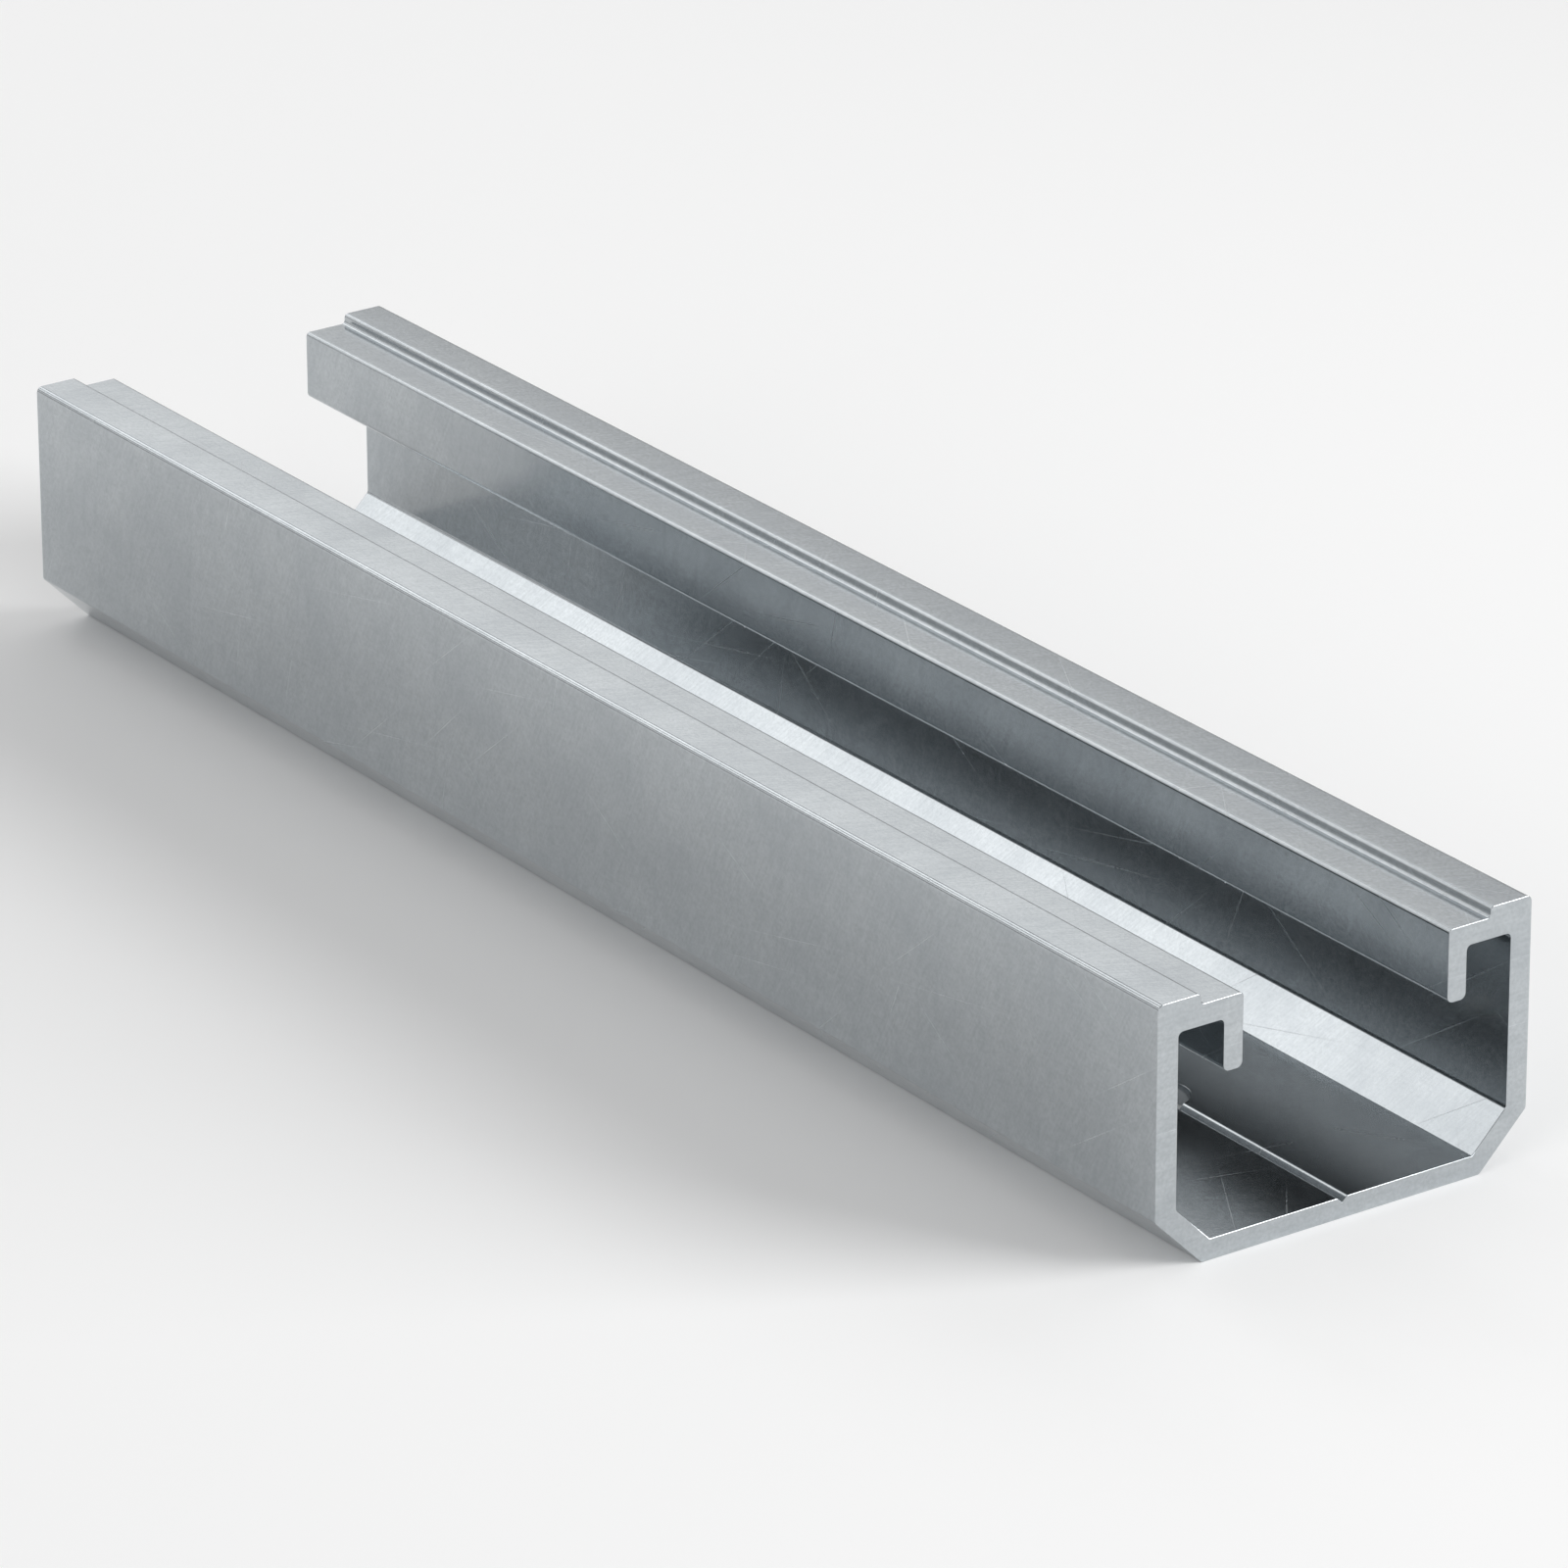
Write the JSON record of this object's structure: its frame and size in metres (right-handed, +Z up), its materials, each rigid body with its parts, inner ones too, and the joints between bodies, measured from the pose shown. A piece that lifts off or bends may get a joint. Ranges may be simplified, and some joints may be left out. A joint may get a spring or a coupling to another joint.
{
  "type": "solar mounting rail",
  "caption": "Short extruded aluminium solar mounting rail: a C section open along its top, with turned-down lips beside the slot, chamfered bottom corners and screw holes in the floor.",
  "frame": {"origin": "centre of the flat underside, midway between the two saw cuts", "axes": "+X along the rail towards the end nearest the camera, +Y across it towards the right leg, +Z up out of the slot"},
  "size_m": [0.18, 0.04, 0.025],
  "materials": {
    "aluminium": "mill finish, extruded, saw-cut ends"
  },
  "bodies": {
    "root": {"rail": "aluminium"}
  },
  "joints": []
}
